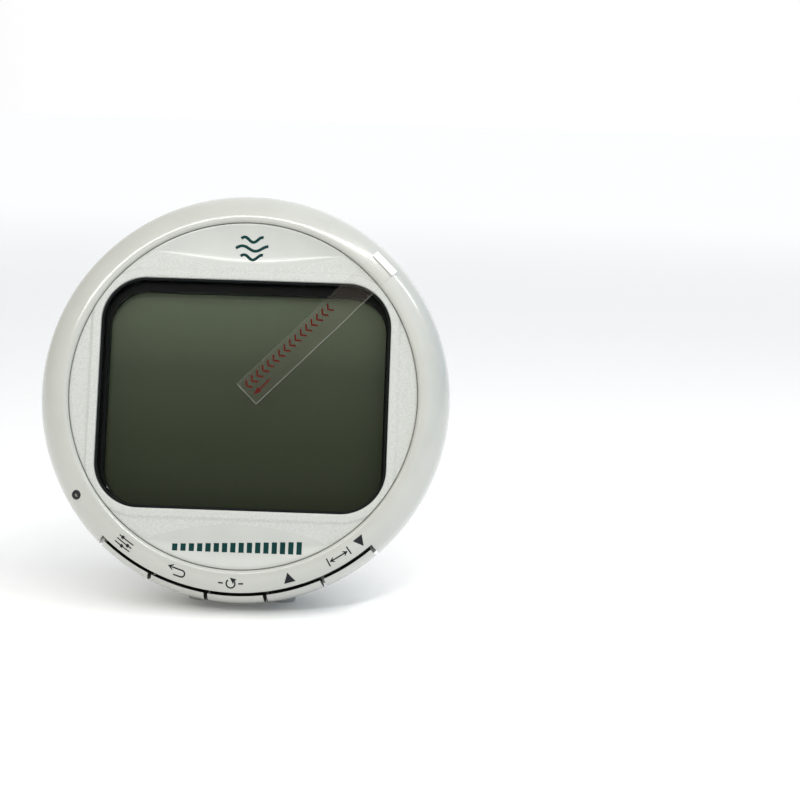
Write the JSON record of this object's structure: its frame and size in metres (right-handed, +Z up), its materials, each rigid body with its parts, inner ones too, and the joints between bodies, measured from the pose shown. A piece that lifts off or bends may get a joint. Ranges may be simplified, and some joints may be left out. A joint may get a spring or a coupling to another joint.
{
  "type": "carbon dioxide monitor",
  "caption": "Round desktop carbon dioxide monitor with a large display window, push buttons along its lower rim, and a fold-out stand behind.",
  "frame": {"origin": "centre of the bounding box's underside, on the desk that the feet and the stand rest on", "axes": "+Z up, -Y out of the front, +X to the viewer's right across the face; the face leans back 15 degrees"},
  "size_m": [0.12, 0.0616, 0.1187],
  "materials": {
    "pearl_plastic": "pearl-white painted plastic, satin gloss",
    "silver_plastic": "silver paint with a fine sparkle",
    "black_rubber": "matt black moulded rubber",
    "grey_rubber": "matt grey moulded rubber",
    "black_plastic": "black moulded plastic",
    "clear_acrylic": "clear polished acrylic",
    "clear_film": "thin clear film with red print",
    "display_glass": "dark olive liquid-crystal glass",
    "diffuser_plastic": "white translucent plastic",
    "contact_rubber": "grey conductive rubber",
    "circuit_board": "green solder mask",
    "chip_resin": "black moulded resin",
    "gilded_metal": "gilded metal",
    "steel": "bright plated steel",
    "lamp_glass": "clear glass bulb",
    "filter_membrane": "white porous membrane"
  },
  "bodies": {
    "housing": {"alarm_buzzer": "black_plastic", "board_screw_1": "steel", "board_screw_2": "steel", "board_screw_3": "steel", "board_screw_4": "steel", "contact_strip_bottom": "contact_rubber", "contact_strip_top": "contact_rubber", "display_backlight": "diffuser_plastic", "display_frame": "black_plastic", "display_glass": "display_glass", "display_lens": "clear_acrylic", "foot_left": "grey_rubber", "foot_right": "grey_rubber", "front_panel": "silver_plastic", "front_ring": "pearl_plastic", "housing_screw_1": "steel", "housing_screw_2": "steel", "housing_screw_3": "steel", "housing_screw_4": "steel", "humidity_sensor": "chip_resin", "lens_gasket": "black_rubber", "light_guide": "clear_acrylic", "main_board": "circuit_board", "power_inlet": "steel", "processor_chip": "chip_resin", "pull_tab_film": "clear_film", "rear_cover": "pearl_plastic", "sensor_board": "circuit_board", "sensor_chamber": "gilded_metal", "sensor_detector": "steel", "sensor_dust_filter": "filter_membrane", "sensor_header": "chip_resin", "sensor_lamp": "lamp_glass", "smoothing_capacitor": "steel", "stand_pin": "steel", "status_lamp": "diffuser_plastic", "switch_body_down": "black_plastic", "switch_body_escape": "black_plastic", "switch_body_reset": "black_plastic", "switch_body_set": "black_plastic", "switch_body_up": "black_plastic", "timing_crystal": "steel"},
    "stand": {"stand_leg": "pearl_plastic"},
    "key_set": {"button_set": "pearl_plastic", "switch_plunger_set": "steel"},
    "key_escape": {"button_escape": "pearl_plastic", "switch_plunger_escape": "steel"},
    "key_reset": {"button_reset": "pearl_plastic", "switch_plunger_reset": "steel"},
    "key_up": {"button_up": "pearl_plastic", "switch_plunger_up": "steel"},
    "key_down": {"button_down": "pearl_plastic", "switch_plunger_down": "steel"}
  },
  "joints": [
    {"name": "press_set", "type": "slide", "parent": "housing", "child": "key_set", "axis": [0.5556, 0.2152, 0.8031], "range_m": [0, 0.0008], "stiffness_N_per_m": 1500},
    {"name": "press_escape", "type": "slide", "parent": "housing", "child": "key_escape", "axis": [0.2903, 0.2477, 0.9243], "range_m": [0, 0.0008], "stiffness_N_per_m": 1500},
    {"name": "press_reset", "type": "slide", "parent": "housing", "child": "key_reset", "axis": [0, 0.2588, 0.9659], "range_m": [0, 0.0008], "stiffness_N_per_m": 1500},
    {"name": "press_up", "type": "slide", "parent": "housing", "child": "key_up", "axis": [-0.2903, 0.2477, 0.9243], "range_m": [0, 0.0008], "stiffness_N_per_m": 1500},
    {"name": "press_down", "type": "slide", "parent": "housing", "child": "key_down", "axis": [-0.5556, 0.2152, 0.8031], "range_m": [0, 0.0008], "stiffness_N_per_m": 1500},
    {"name": "stand_fold", "type": "hinge", "parent": "housing", "child": "stand", "pos_m": [0, 0.0136, 0.04441], "axis": [1, 0, 0], "range_deg": [-35, 0]}
  ]
}
